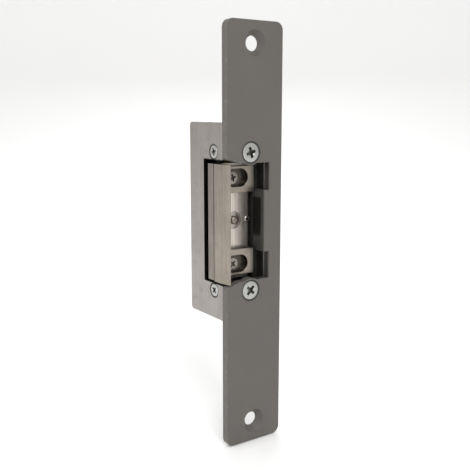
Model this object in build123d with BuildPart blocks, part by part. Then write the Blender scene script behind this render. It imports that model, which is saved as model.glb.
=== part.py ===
from build123d import *
import os

os.makedirs("parts", exist_ok=True)

# Electric door strike with a narrow flat faceplate, in millimetres.
# The row frame has its origin between the two fixing holes, on the faceplate's back face.
# +X runs across the plate, +Y goes into the door frame, +Z is up.
# Pieces are laid out from three edges: the plate's left edge (x), its front face (y) and the
# middle of the strike (z). The helpers below turn those distances into the row frame.

# Faceplate
PLATE_LENGTH = 160
PLATE_WIDTH = 25
PLATE_THICK = 3
PLATE_CORNER = 3
EDGE_ROUND = 0.3
FIXING_SPACING = 144
FIXING_RADIUS = 2.75
FIXING_SINK_RADIUS = 4.7
STRIKE_Z = 7
OPENING_HALF = 22.1
OPENING_MOUTH_HALF = 23.4
MOUTH_X = (-1, 2.2, 5.6)
OPENING_RIGHT = 19.3
TAB_LEFT = 17.0
TAB_RIGHT = 18.8
TAB_FRONT = 1.0
TAB_BACK = 7.2
TAB_HALF = 11.8
MOUTH_ROUND = 1.5
SCREW_LAND = 4.7

# Case
CASE_LEFT = 1.2
CASE_RIGHT = 20.5
CASE_BACK = 25.5
CASE_HALF = 37
WALL = 1.5
BLOCK_INNER = 23.6
BLOCK_OUTER = 29.6
BLOCK_BACK = 12
BOSS_RIGHT = 8.8
BOSS_BACK = 16.5
LEDGE_LEFT = 16.9
LEDGE_Y = (7.4, 13.0)
CUTOUT_BACK = 15.5
CUTOUT_HALF = 23.2
CUTOUT_ROUND = 0.8
CASE_ROUND = 1.5
WEB_LEFT = 10.5
WEB_FRONT = 17.5
WEBS_Z = ((-17, -15.5), (-2.4, -1.2))
LEVER_PIN_LENGTH = WEBS_Z[1][1] - WEBS_Z[0][0]

# Screws
SINK_GAP = 0.12
SCREW_PLAY = 0.15
CROSS_SPAN = 1.1
CROSS_WING = 0.24
CROSS_DEPTH = 0.42
PLATE_SCREW_X = 10.8
PLATE_SCREW_Z = 26
PLATE_SCREW_RADIUS = 2.0
PLATE_SCREW_HEAD = 3.9
PLATE_SCREW_TIP = 11
COVER_SCREW_Y = 8.8
COVER_SCREW_Z = 26.2
COVER_SCREW_RADIUS = 1.5
COVER_SCREW_HEAD = 2.7
COVER_SCREW_TIP = 7.0
LIP_SCREW_X = 7.0
LIP_SCREW_Z = 16.45
LIP_SCREW_RADIUS = 1.5
LIP_SCREW_HEAD = 2.7
LIP_SCREW_FRONT = 6.4
LIP_SCREW_TIP = 11.2

# Keeper and its axle
AXLE_X = 5.4
AXLE_Y = 13.0
AXLE_RADIUS = 1.5
AXLE_HALF = 28
RUNNING_FIT = 0.05
KEEPER_LEFT = 0.7
KEEPER_RIGHT = 16.6
KEEPER_FRONT = 9.0
KEEPER_SIDE_BACK = 14.0
KEEPER_Z = (-22.7, 21.7)
KEEPER_EDGE_ROUND = 1.2
BARREL_RADIUS = 3.9
BUSH_RADIUS = 2.3
BUSH_LENGTH = 3.6
ROLL_PIN_X = 15.4
ROLL_PIN_RADIUS = 1.0
ROLL_PIN_BORE = 0.55
ROLL_PIN_Y = (8.6, 13.0)
ROLL_PIN_SLIT = 0.12
AXLE_CLEARANCE = 0.1
HOLE_SPARE = 0.1
FIN_HALF = 0.8
FIN_BACK = 20
FIN_Z = (-13, -9)
FIN_ROUND = 0.5
SPRING_WINDOW = (4.0, 14.2)
SPRING_BORE = 3.0
SPRING_MEAN = 2.4
WIRE = 0.35
LEG_RADIUS = 0.3
BACK_LEG = 10.9
SIDE_LEG = 3.2
COIL_END_GAP = 0.6
WINDOW_X = (1.05, 2.5, 9.4)
WINDOW_Y = (12.2, 13.9, 17.5)

# Adjustable lip
LIP_LEFT = 0.3
LIP_RIGHT = 2.4
LIP_TIP = (1.5, 1.9)
LIP_FRONT = 0.1
LIP_BEND = (4.5, 3.2)
LIP_Z = (-22.9, 21.8)
JAW_RIGHT = 16.2
JAW_FRONT = 5.8
JAW_FLOOR = 8.1
JAW_INNER = 10.8
JAW_OUTER = 20.8
LIP_TRAVEL = 1.6
POCKET_LENGTH = 3.1
POCKET_RADIUS = 3.4
JOIN = 0.4
SLOT_CLEARANCE = 0.1

# Plunger
PLUNGER_X = 9.2
PLUNGER_RADIUS = 1.6
PLUNGER_FRONT = 8.0
PLUNGER_DOME = 0.9
COLLAR_RADIUS = 1.95
COLLAR_THICK = 1.1
TAIL_RADIUS = 0.7
TAIL_LENGTH = 2.0
COIL_OUTER = 1.6
COIL_BORE = 1.1
RECESS_RADIUS = 3.2
RECESS_DEPTH = 0.4
SHOULDER_Y = 10.0
CUP_RADIUS = 2.05
CUP_WALL_RADIUS = 3.0
CUP_BACK = 15.0
PLUG_FRONT = 13.9
PLUG_SLOT_DEPTH = 0.5
PLUG_SLOT_HALF = 0.35

# Lever and armature
LEVER_X = 14.0
LEVER_Y = 20.6
LEVER_PIN_RADIUS = 1.2
LEVER_HUB = 2.4
LEVER_ARM = ((14, 18.2), (9.2, 18.6), (6.6, 19.9), (6.6, 21.2), (14, 22.8))
LUG_TOP = -0.9
LEVER_LOW = -14
LEVER_HIGH = -3
HINGE_X = 17.8
HINGE_Z = 0.85
HINGE_PIN_RADIUS = 0.6
CATCH_X = (7.6, 9.4)
KNUCKLE_RADIUS = 1.05
FLAP_Y = (17.2, 22.6)
FLAP_Z = (0.3, 1.4)
HOOK_Y = (22.2, 23.4)
HOOK_LOW = -1.2
FLAP_SPRING_X = 10.2
FLAP_SPRING_Y = 18.2
FLAP_SPRING_RADIUS = 0.8
FLAP_SPRING_BORE = 0.5

# Solenoid
COIL_X = 13.2
COIL_Y = 19.2
COIL_HALF = 4.1
COIL_LOW = 3
COIL_HIGH = 27
FLANGE = 1.2
CORE_RADIUS = 1.8
CORE_LOW = 2.3
SPOOL_RADIUS = 2.6
WINDING_RADIUS = 3.7
TAPE_RADIUS = 4.0
YOKE_Y = (16.1, 23.7)
YOKE_TOP = 28.4
YOKE_LEFT = 9.5
EAR_LEFT = 16.6
EAR_THICK = 1
EAR_Z = (-0.2, 2.1)
YOKE_SCREW_Y = 19.9
YOKE_SCREW_Z = 15
YOKE_SCREW_RADIUS = 1.25
YOKE_SCREW_HEAD = 2.2
YOKE_SCREW_LENGTH = 3.1

# Supply terminals
TERMINAL_X = (9.4, 19.0)
TERMINAL_Y = (14.6, 25.5)
TERMINAL_Z = (-35.5, -24.0)
POLE_X = (12.0, 16.4)
POLE_SCREW_Z = -31.0
WIRE_Y = 19.2
LEAD_X = (13.2, 15.6)
LEAD_Y = 15.9
LEAD_RADIUS = 0.6
ENTRY_RADIUS = 1.6
ENTRY_DEPTH = 3
BLOCK_GAP = 0.2
CAGE_HALF = 1.8
CAGE_Y = (17.2, 22.6)
CAGE_Z = (-33.5, -28.5)
CAGE_BORE = 1.4
CLAMP_Y = (18.2, 20.7, 23.7, 23.4, 24.8)
CLAMP_RADIUS = 1.25
CLAMP_HEAD = 1.7
CLAMP_ACCESS = 1.75
CLAMP_SLOT_DEPTH = 0.6
CLAMP_SLOT_HALF = 0.25

# Varistor
DISC_Y = (19.6, 21.4)
DISC_Z = -20.4
DISC_RADIUS = 3.0
LEG_SPREAD = 1.2
LEG_Y = 20.5
LEG_LENGTH = 2.4

RIGHT = (1, 0, 0)
LEFT = (-1, 0, 0)
BACK = (0, 1, 0)
FRONT = (0, -1, 0)
UP = (0, 0, 1)
DOWN = (0, 0, -1)
ENDS = (-1, 1)
LOW_CORNER = (Align.MIN, Align.MIN, Align.MIN)
ON_BASE = (Align.CENTER, Align.CENTER, Align.MIN)


def place(x, y, z):
    """The row-frame point at x from the left edge, y from the front face, z from the middle."""
    return (x - PLATE_WIDTH / 2, y - PLATE_THICK, z + STRIKE_Z)


def on_face(x, z):
    """The same for a sketch on the XZ plane."""
    return (x - PLATE_WIDTH / 2, z + STRIKE_Z)


def in_plan(x, y):
    """The same for a sketch on a level plane."""
    return (x - PLATE_WIDTH / 2, y - PLATE_THICK)


def level(z):
    """A horizontal sketch plane at a height from the strike's middle."""
    return Plane.XY.offset(z + STRIKE_Z)


def block(x, y, z, mode=Mode.ADD):
    """A rectangular block between a low and a high limit each way."""
    with Locations(place(x[0], y[0], min(z))):
        Box(x[1] - x[0], y[1] - y[0], abs(z[1] - z[0]), align=LOW_CORNER, mode=mode)


def rod(start, direction, length, radius, mode=Mode.ADD):
    """A round bar, or with Mode.SUBTRACT a bore, from a start point along a direction."""
    with Locations(Plane(origin=place(*start), z_dir=direction)):
        Cylinder(radius, length, align=ON_BASE, mode=mode)


def taper(start, direction, length, radius, end_radius, mode=Mode.ADD):
    """A cone frustum from a start point along a direction."""
    with Locations(Plane(origin=place(*start), z_dir=direction)):
        Cone(radius, end_radius, length, align=ON_BASE, mode=mode)


def cross_recess(start, direction, head):
    """A cross-shaped driver recess, in proportion to the head's radius."""
    span = CROSS_SPAN * head
    wing = CROSS_WING * head
    depth = CROSS_DEPTH * head
    with Locations(Plane(origin=place(*start), z_dir=direction)):
        Box(span, wing, depth, align=ON_BASE, mode=Mode.SUBTRACT)
        Box(wing, span, depth, align=ON_BASE, mode=Mode.SUBTRACT)
        Cone(span / 3, wing / 3, depth, align=ON_BASE, mode=Mode.SUBTRACT)


def save(part, label):
    """Labels a finished piece and writes its STEP file."""
    part.label = label
    export_step(part, f"parts/{label}.step")


# Faceplate: 3 mm strip with the strike opening, a bent-in tab and four countersunk holes.
opening_half_outline = [
    (MOUTH_X[0], OPENING_MOUTH_HALF),
    (MOUTH_X[1], OPENING_MOUTH_HALF),
    (MOUTH_X[2], OPENING_HALF),
    (OPENING_RIGHT, OPENING_HALF),
    (OPENING_RIGHT, TAB_HALF),
    (TAB_LEFT, TAB_HALF),
]
opening_outline = opening_half_outline + [(x, -z) for x, z in reversed(opening_half_outline)]

with BuildPart() as faceplate:
    with BuildSketch(Plane.XZ) as plate_outline:
        RectangleRounded(PLATE_WIDTH, PLATE_LENGTH, PLATE_CORNER)
        with BuildSketch(Plane.XZ, mode=Mode.SUBTRACT):
            with BuildLine():
                Polyline(*[on_face(x, z) for x, z in opening_outline], close=True)
            make_face()
            with Locations(*[on_face(PLATE_SCREW_X, end * PLATE_SCREW_Z) for end in ENDS]):
                Circle(SCREW_LAND, mode=Mode.SUBTRACT)
        left_corners = plate_outline.vertices().group_by(Axis.X)[0]
        mouth_z = (STRIKE_Z - PLATE_SCREW_Z, STRIKE_Z + PLATE_SCREW_Z)
        fillet(left_corners.filter_by_position(Axis.Y, *mouth_z), MOUTH_ROUND)
    extrude(amount=PLATE_THICK)
    fillet(faceplate.faces().sort_by(Axis.Y)[0].edges(), EDGE_ROUND)
    block((TAB_LEFT, TAB_RIGHT), (TAB_FRONT, TAB_BACK), (-TAB_HALF, TAB_HALF))
    for end in ENDS:
        plate_end = (0, -PLATE_THICK, end * FIXING_SPACING / 2)
        with Locations(Plane(origin=plate_end, z_dir=FRONT)):
            CounterSinkHole(FIXING_RADIUS, FIXING_SINK_RADIUS, PLATE_THICK)
        screw_spot = place(PLATE_SCREW_X, 0, end * PLATE_SCREW_Z)
        with Locations(Plane(origin=screw_spot, z_dir=FRONT)):
            CounterSinkHole(PLATE_SCREW_RADIUS + SCREW_PLAY, PLATE_SCREW_HEAD + SINK_GAP, PLATE_THICK)
save(faceplate.part, "faceplate")

# Housing: die-cast case, open on the left, with screw blocks, a ledge and webs for the lever pin.
with BuildPart() as housing:
    block((CASE_LEFT, CASE_RIGHT), (PLATE_THICK, CASE_BACK), (-CASE_HALF, CASE_HALF))
    back_corner = housing.edges().filter_by(Axis.Z).sort_by(Axis.X)[-2:].sort_by(Axis.Y)[-1]
    fillet(back_corner, CASE_ROUND)
    inner_right = CASE_RIGHT - WALL
    inner_back = CASE_BACK - WALL
    inner_half = CASE_HALF - WALL
    inner_x = (CASE_LEFT, inner_right)
    block(inner_x, (PLATE_THICK + WALL, inner_back), (-inner_half, inner_half), Mode.SUBTRACT)
    block(inner_x, (PLATE_THICK, PLATE_THICK + WALL), (-BLOCK_OUTER, BLOCK_OUTER), Mode.SUBTRACT)
    for end in ENDS:
        block_z = sorted((end * BLOCK_INNER, end * BLOCK_OUTER))
        block(inner_x, (PLATE_THICK, BLOCK_BACK), block_z)
        block((CASE_LEFT, BOSS_RIGHT), (PLATE_THICK, BOSS_BACK), block_z)
        screw_start = (PLATE_SCREW_X, PLATE_THICK, end * PLATE_SCREW_Z)
        rod(screw_start, BACK, PLATE_SCREW_TIP - PLATE_THICK, PLATE_SCREW_RADIUS, Mode.SUBTRACT)
        cover_start = (CASE_LEFT, COVER_SCREW_Y, end * COVER_SCREW_Z)
        rod(cover_start, RIGHT, COVER_SCREW_TIP - CASE_LEFT, COVER_SCREW_RADIUS, Mode.SUBTRACT)
    block((LEDGE_LEFT, inner_right), LEDGE_Y, (-BLOCK_INNER, BLOCK_INNER))
    for web_z in WEBS_Z:
        block((WEB_LEFT, inner_right), (WEB_FRONT, inner_back), web_z)
    rod((AXLE_X, AXLE_Y, -AXLE_HALF), UP, 2 * AXLE_HALF, AXLE_RADIUS, Mode.SUBTRACT)
    rod((LEVER_X, LEVER_Y, WEBS_Z[0][0]), UP, LEVER_PIN_LENGTH, LEVER_PIN_RADIUS, Mode.SUBTRACT)
    window_x = (TERMINAL_X[0] - BLOCK_GAP, TERMINAL_X[1])
    block(window_x, (inner_back, CASE_BACK), (-inner_half, TERMINAL_Z[1] + BLOCK_GAP), Mode.SUBTRACT)
    for x in POLE_X:
        rod((x, WIRE_Y, -CASE_HALF), UP, WALL, ENTRY_RADIUS, Mode.SUBTRACT)
    sink = YOKE_SCREW_HEAD - YOKE_SCREW_RADIUS
    yoke_start = (CASE_RIGHT, YOKE_SCREW_Y, YOKE_SCREW_Z)
    rod(yoke_start, LEFT, WALL, YOKE_SCREW_RADIUS, Mode.SUBTRACT)
    taper(yoke_start, LEFT, sink, YOKE_SCREW_HEAD, YOKE_SCREW_RADIUS, Mode.SUBTRACT)
save(housing.part, "housing")

# Side cover: flat sheet that closes the open side of the case, cut away beside the keeper.
with BuildPart() as side_cover:
    block((0, CASE_LEFT), (PLATE_THICK, CASE_BACK), (-CASE_HALF, CASE_HALF))
    fillet(side_cover.edges().filter_by(Axis.X).group_by(Axis.Y)[-1], CASE_ROUND)
    cutout_z = (-CUTOUT_HALF, CUTOUT_HALF)
    block((0, CASE_LEFT), (PLATE_THICK, CUTOUT_BACK), cutout_z, Mode.SUBTRACT)
    inner_corners = side_cover.edges().filter_by(Axis.X).group_by(Axis.Y)[1]
    fillet(inner_corners, CUTOUT_ROUND)
    for end in ENDS:
        head_spot = place(0, COVER_SCREW_Y, end * COVER_SCREW_Z)
        with Locations(Plane(origin=head_spot, z_dir=LEFT)):
            CounterSinkHole(COVER_SCREW_RADIUS, COVER_SCREW_HEAD + SINK_GAP, CASE_LEFT)
save(side_cover.part, "side_cover")

# Faceplate screws: countersunk cross-head machine screws into the case's end blocks.
with BuildPart() as faceplate_screws:
    for end in ENDS:
        start = (PLATE_SCREW_X, 0, end * PLATE_SCREW_Z)
        rod(start, BACK, PLATE_SCREW_TIP, PLATE_SCREW_RADIUS)
        sink = PLATE_SCREW_HEAD - PLATE_SCREW_RADIUS
        taper(start, BACK, sink, PLATE_SCREW_HEAD, PLATE_SCREW_RADIUS)
        cross_recess(start, BACK, PLATE_SCREW_HEAD)
save(faceplate_screws.part, "faceplate_screws")

# Cover screws: small countersunk screws through the side cover.
with BuildPart() as cover_screws:
    for end in ENDS:
        start = (0, COVER_SCREW_Y, end * COVER_SCREW_Z)
        rod(start, RIGHT, COVER_SCREW_TIP, COVER_SCREW_RADIUS)
        sink = COVER_SCREW_HEAD - COVER_SCREW_RADIUS
        taper(start, RIGHT, sink, COVER_SCREW_HEAD, COVER_SCREW_RADIUS)
        cross_recess(start, RIGHT, COVER_SCREW_HEAD)
save(cover_screws.part, "cover_screws")

# Keeper axle: plain steel pin held in both end blocks.
with BuildPart() as keeper_axle:
    rod((AXLE_X, AXLE_Y, -AXLE_HALF), UP, 2 * AXLE_HALF, AXLE_RADIUS)
save(keeper_axle.part, "keeper_axle")

# Keeper spring: the closed coil body of a torsion spring round the axle, with two straight legs.
coil_low = SPRING_WINDOW[0] + COIL_END_GAP
coil_high = SPRING_WINDOW[1] - COIL_END_GAP
with BuildPart() as keeper_spring:
    coil_height = coil_high - coil_low
    rod((AXLE_X, AXLE_Y, coil_low), UP, coil_height, SPRING_MEAN + WIRE)
    rod((AXLE_X, AXLE_Y, coil_low), UP, coil_height, SPRING_MEAN - WIRE, Mode.SUBTRACT)
    rod((AXLE_X - SPRING_MEAN, AXLE_Y, coil_high - WIRE), BACK, BACK_LEG, LEG_RADIUS)
    rod((AXLE_X, AXLE_Y + SPRING_MEAN, coil_low + WIRE), RIGHT, SIDE_LEG, LEG_RADIUS)
save(keeper_spring.part, "keeper_spring")

# Keeper: the swinging jaw, a slab on a barrel, with the plunger cup and the locking fin behind.
with BuildPart() as keeper:
    keeper_height = KEEPER_Z[1] - KEEPER_Z[0]
    with BuildSketch(level(KEEPER_Z[0])):
        with BuildLine():
            slab = [
                (KEEPER_LEFT, KEEPER_FRONT),
                (KEEPER_RIGHT, KEEPER_FRONT),
                (KEEPER_RIGHT, AXLE_Y),
                (AXLE_X, AXLE_Y),
                (AXLE_X, KEEPER_SIDE_BACK),
                (KEEPER_LEFT, KEEPER_SIDE_BACK),
            ]
            Polyline(*[in_plan(x, y) for x, y in slab], close=True)
        make_face()
        with Locations(in_plan(AXLE_X, AXLE_Y)):
            Circle(BARREL_RADIUS)
    extrude(amount=keeper_height)
    upright_edges = keeper.edges().filter_by(Axis.Z)
    fillet(upright_edges.group_by(Axis.X)[-1].sort_by(Axis.Y)[0], KEEPER_EDGE_ROUND)
    side_back = keeper.edges().filter_by(Axis.Z).group_by(Axis.X)[0].sort_by(Axis.Y)[-1]
    fillet(side_back, EDGE_ROUND)
    window_height = SPRING_WINDOW[1] - SPRING_WINDOW[0]
    with BuildSketch(level(SPRING_WINDOW[0])):
        with BuildLine():
            window = [
                (WINDOW_X[1], WINDOW_Y[0]),
                (WINDOW_X[2], WINDOW_Y[0]),
                (WINDOW_X[2], WINDOW_Y[2]),
                (WINDOW_X[0], WINDOW_Y[2]),
                (WINDOW_X[0], WINDOW_Y[1]),
            ]
            Polyline(*[in_plan(x, y) for x, y in window], close=True)
        make_face()
    extrude(amount=window_height, mode=Mode.SUBTRACT)
    rod((AXLE_X, AXLE_Y, SPRING_WINDOW[0]), UP, window_height, SPRING_BORE, Mode.SUBTRACT)
    rod((PLUNGER_X, AXLE_Y, 0), BACK, CUP_BACK - AXLE_Y, CUP_WALL_RADIUS)
    block((AXLE_X - FIN_HALF, AXLE_X + FIN_HALF), (AXLE_Y, FIN_BACK), FIN_Z)
    fin_tip = keeper.edges().filter_by(Axis.Z).sort_by(Axis.Y)[-2:]
    fillet(fin_tip, FIN_ROUND)
    rod((PLUNGER_X, KEEPER_FRONT, 0), BACK, RECESS_DEPTH, RECESS_RADIUS, Mode.SUBTRACT)
    guide_length = SHOULDER_Y - KEEPER_FRONT
    rod((PLUNGER_X, KEEPER_FRONT, 0), BACK, guide_length, PLUNGER_RADIUS + RUNNING_FIT, Mode.SUBTRACT)
    rod((PLUNGER_X, SHOULDER_Y, 0), BACK, CUP_BACK - SHOULDER_Y, CUP_RADIUS, Mode.SUBTRACT)
    pin_depth = ROLL_PIN_Y[1] - KEEPER_FRONT
    rod((ROLL_PIN_X, KEEPER_FRONT, 0), BACK, pin_depth, ROLL_PIN_RADIUS, Mode.SUBTRACT)
    rod((AXLE_X, AXLE_Y, KEEPER_Z[0]), UP, keeper_height, AXLE_RADIUS + AXLE_CLEARANCE, Mode.SUBTRACT)
    for bush_low in (KEEPER_Z[0], KEEPER_Z[1] - BUSH_LENGTH):
        rod((AXLE_X, AXLE_Y, bush_low), UP, BUSH_LENGTH, BUSH_RADIUS, Mode.SUBTRACT)
    for end in ENDS:
        screw_hole = (LIP_SCREW_X, KEEPER_FRONT, end * LIP_SCREW_Z)
        hole_depth = LIP_SCREW_TIP + HOLE_SPARE - KEEPER_FRONT
        rod(screw_hole, BACK, hole_depth, LIP_SCREW_RADIUS, Mode.SUBTRACT)
save(keeper.part, "keeper")

# Keeper bushes: two brass sleeves pressed into the ends of the barrel.
with BuildPart() as keeper_bushes:
    for bush_low in (KEEPER_Z[0], KEEPER_Z[1] - BUSH_LENGTH):
        rod((AXLE_X, AXLE_Y, bush_low), UP, BUSH_LENGTH, BUSH_RADIUS)
        rod((AXLE_X, AXLE_Y, bush_low), UP, BUSH_LENGTH, AXLE_RADIUS + RUNNING_FIT, Mode.SUBTRACT)
save(keeper_bushes.part, "keeper_bushes")

# Keeper lip: L-shaped jaw plate with two slotted feet, so that it can be set sideways.
with BuildPart() as keeper_lip:
    with BuildSketch(level(LIP_Z[0])):
        with BuildLine():
            lip = [
                (LIP_LEFT, LIP_BEND[0]),
                (LIP_LEFT, KEEPER_FRONT),
                (LIP_RIGHT, KEEPER_FRONT),
                (LIP_RIGHT, LIP_BEND[1]),
                (LIP_TIP[1], LIP_FRONT),
                (LIP_TIP[0], LIP_FRONT),
            ]
            Polyline(*[in_plan(x, y) for x, y in lip], close=True)
        make_face()
    extrude(amount=LIP_Z[1] - LIP_Z[0])
    for end in ENDS:
        foot_z = sorted((end * JAW_INNER, end * JAW_OUTER))
        block((LIP_RIGHT - JOIN, JAW_RIGHT), (JAW_FRONT, KEEPER_FRONT), foot_z)
        pocket_x = LIP_SCREW_X + POCKET_LENGTH / 2
        pocket_plane = Plane(place(pocket_x, JAW_FRONT, end * LIP_SCREW_Z), RIGHT, BACK)
        with BuildSketch(pocket_plane):
            SlotCenterToCenter(POCKET_LENGTH, 2 * POCKET_RADIUS)
        extrude(amount=JAW_FLOOR - JAW_FRONT, mode=Mode.SUBTRACT)
        slot_x = LIP_SCREW_X + LIP_TRAVEL / 2
        slot_plane = Plane(place(slot_x, JAW_FLOOR, end * LIP_SCREW_Z), RIGHT, BACK)
        with BuildSketch(slot_plane):
            SlotCenterToCenter(LIP_TRAVEL, 2 * (LIP_SCREW_RADIUS + SLOT_CLEARANCE))
        extrude(amount=KEEPER_FRONT - JAW_FLOOR, mode=Mode.SUBTRACT)
save(keeper_lip.part, "keeper_lip")

# Lip screws: cheese-head screws that clamp the lip's feet to the keeper.
with BuildPart() as lip_screws:
    for end in ENDS:
        head = (LIP_SCREW_X, LIP_SCREW_FRONT, end * LIP_SCREW_Z)
        rod(head, BACK, JAW_FLOOR - LIP_SCREW_FRONT, LIP_SCREW_HEAD)
        rod(head, BACK, LIP_SCREW_TIP - LIP_SCREW_FRONT, LIP_SCREW_RADIUS)
        cross_recess(head, BACK, LIP_SCREW_HEAD)
save(lip_screws.part, "lip_screws")

# Roll pin: slit spring pin standing a little proud of the keeper.
with BuildPart() as roll_pin:
    pin_start = (ROLL_PIN_X, ROLL_PIN_Y[0], 0)
    pin_length = ROLL_PIN_Y[1] - ROLL_PIN_Y[0]
    rod(pin_start, BACK, pin_length, ROLL_PIN_RADIUS)
    rod(pin_start, BACK, pin_length, ROLL_PIN_BORE, Mode.SUBTRACT)
    slit_x = (ROLL_PIN_X, ROLL_PIN_X + ROLL_PIN_RADIUS)
    block(slit_x, ROLL_PIN_Y, (-ROLL_PIN_SLIT, ROLL_PIN_SLIT), Mode.SUBTRACT)
save(roll_pin.part, "roll_pin")

# Plunger: sprung pin in the keeper that the door's latch presses, with a collar and a tail.
with BuildPart() as plunger:
    rod((PLUNGER_X, PLUNGER_FRONT, 0), BACK, SHOULDER_Y - PLUNGER_FRONT, PLUNGER_RADIUS)
    fillet(plunger.edges().sort_by(Axis.Y)[0], PLUNGER_DOME)
    rod((PLUNGER_X, SHOULDER_Y, 0), BACK, COLLAR_THICK, COLLAR_RADIUS)
    rod((PLUNGER_X, SHOULDER_Y, 0), BACK, TAIL_LENGTH, TAIL_RADIUS)
save(plunger.part, "plunger")

# Plunger spring: coil body between the collar and the plug.
with BuildPart() as plunger_spring:
    collar_back = SHOULDER_Y + COLLAR_THICK
    rod((PLUNGER_X, collar_back, 0), BACK, PLUG_FRONT - collar_back, COIL_OUTER)
    rod((PLUNGER_X, collar_back, 0), BACK, PLUG_FRONT - collar_back, COIL_BORE, Mode.SUBTRACT)
save(plunger_spring.part, "plunger_spring")

# Plunger plug: threaded disc with a driver slot that closes the plunger's cup.
with BuildPart() as plunger_plug:
    rod((PLUNGER_X, PLUG_FRONT, 0), BACK, CUP_BACK - PLUG_FRONT, CUP_RADIUS)
    plug_x = (PLUNGER_X - CUP_RADIUS, PLUNGER_X + CUP_RADIUS)
    slot_y = (CUP_BACK - PLUG_SLOT_DEPTH, CUP_BACK)
    block(plug_x, slot_y, (-PLUG_SLOT_HALF, PLUG_SLOT_HALF), Mode.SUBTRACT)
save(plunger_plug.part, "plunger_plug")

# Locking lever: turns on its own pin; its arm holds the keeper's fin, its lug meets the hook.
with BuildPart() as locking_lever:
    with BuildSketch(level(LEVER_LOW)):
        with BuildLine():
            Polyline(*[in_plan(x, y) for x, y in LEVER_ARM], close=True)
        make_face()
        with Locations(in_plan(LEVER_X, LEVER_Y)):
            Circle(LEVER_HUB)
            Circle(LEVER_PIN_RADIUS + RUNNING_FIT, mode=Mode.SUBTRACT)
    extrude(amount=LEVER_HIGH - LEVER_LOW)
    block(CATCH_X, (LEVER_ARM[2][1], LEVER_ARM[3][1]), (LEVER_HIGH - 1, LUG_TOP))
save(locking_lever.part, "locking_lever")

# Lever pin: held in the case's two webs.
with BuildPart() as lever_pin:
    rod((LEVER_X, LEVER_Y, WEBS_Z[0][0]), UP, LEVER_PIN_LENGTH, LEVER_PIN_RADIUS)
save(lever_pin.part, "lever_pin")

# Armature: iron flap under the coil, with a rolled knuckle and a hook that blocks the lever.
with BuildPart() as armature:
    knuckle_start = (HINGE_X, FLAP_Y[0], HINGE_Z)
    knuckle_length = FLAP_Y[1] - FLAP_Y[0]
    rod(knuckle_start, BACK, knuckle_length, KNUCKLE_RADIUS)
    block((CATCH_X[0], HINGE_X), FLAP_Y, FLAP_Z)
    block(CATCH_X, (FLAP_Y[0], HOOK_Y[1]), FLAP_Z)
    block(CATCH_X, HOOK_Y, (HOOK_LOW, FLAP_Z[0]))
    rod(knuckle_start, BACK, knuckle_length, HINGE_PIN_RADIUS + RUNNING_FIT, Mode.SUBTRACT)
save(armature.part, "armature")

# Armature pin: runs through the knuckle and both ears of the yoke.
with BuildPart() as armature_pin:
    rod((HINGE_X, YOKE_Y[0], HINGE_Z), BACK, YOKE_Y[1] - YOKE_Y[0], HINGE_PIN_RADIUS)
save(armature_pin.part, "armature_pin")

# Armature spring: small coil body that presses the flap away from the coil.
with BuildPart() as armature_spring:
    foot = (FLAP_SPRING_X, FLAP_SPRING_Y, FLAP_Z[1])
    rod(foot, UP, COIL_LOW - FLAP_Z[1], FLAP_SPRING_RADIUS)
    rod(foot, UP, COIL_LOW - FLAP_Z[1], FLAP_SPRING_BORE, Mode.SUBTRACT)
save(armature_spring.part, "armature_spring")

# Coil bobbin: moulded spool with two square flanges.
with BuildPart() as coil_bobbin:
    rod((COIL_X, COIL_Y, COIL_LOW), UP, COIL_HIGH - COIL_LOW, SPOOL_RADIUS)
    flange_x = (COIL_X - COIL_HALF, COIL_X + COIL_HALF)
    flange_y = (COIL_Y - COIL_HALF, COIL_Y + COIL_HALF)
    block(flange_x, flange_y, (COIL_LOW, COIL_LOW + FLANGE))
    block(flange_x, flange_y, (COIL_HIGH - FLANGE, COIL_HIGH))
    rod((COIL_X, COIL_Y, COIL_LOW), UP, COIL_HIGH - COIL_LOW, CORE_RADIUS + RUNNING_FIT, Mode.SUBTRACT)
save(coil_bobbin.part, "coil_bobbin")

# Coil winding: enamelled copper wire, as one body, and the tape wrapped round it.
winding_start = (COIL_X, COIL_Y, COIL_LOW + FLANGE)
winding_height = COIL_HIGH - COIL_LOW - 2 * FLANGE
with BuildPart() as coil_winding:
    rod(winding_start, UP, winding_height, WINDING_RADIUS)
    rod(winding_start, UP, winding_height, SPOOL_RADIUS, Mode.SUBTRACT)
save(coil_winding.part, "coil_winding")

with BuildPart() as coil_tape:
    rod(winding_start, UP, winding_height, TAPE_RADIUS)
    rod(winding_start, UP, winding_height, WINDING_RADIUS, Mode.SUBTRACT)
save(coil_tape.part, "coil_tape")

# Coil core: soft iron rod, riveted into the yoke's top leg.
with BuildPart() as coil_core:
    rod((COIL_X, COIL_Y, CORE_LOW), UP, YOKE_TOP - CORE_LOW, CORE_RADIUS)
save(coil_core.part, "coil_core")

# Yoke: bent iron strap beside the coil, with a top leg and two ears for the armature pin.
with BuildPart() as yoke:
    strap_left = COIL_X + COIL_HALF
    strap_right = CASE_RIGHT - WALL
    block((strap_left, strap_right), YOKE_Y, (EAR_Z[1], YOKE_TOP))
    block((YOKE_LEFT, strap_right), YOKE_Y, (COIL_HIGH, YOKE_TOP))
    for ear_y in ((YOKE_Y[0], YOKE_Y[0] + EAR_THICK), (YOKE_Y[1] - EAR_THICK, YOKE_Y[1])):
        block((EAR_LEFT, strap_right), ear_y, EAR_Z)
    ear_span = YOKE_Y[1] - YOKE_Y[0]
    rod((HINGE_X, YOKE_Y[0], HINGE_Z), BACK, ear_span, HINGE_PIN_RADIUS, Mode.SUBTRACT)
    rod((COIL_X, COIL_Y, COIL_HIGH), UP, YOKE_TOP - COIL_HIGH, CORE_RADIUS, Mode.SUBTRACT)
    yoke_hole = (strap_right, YOKE_SCREW_Y, YOKE_SCREW_Z)
    rod(yoke_hole, LEFT, strap_right - strap_left, YOKE_SCREW_RADIUS, Mode.SUBTRACT)
save(yoke.part, "yoke")

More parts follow.
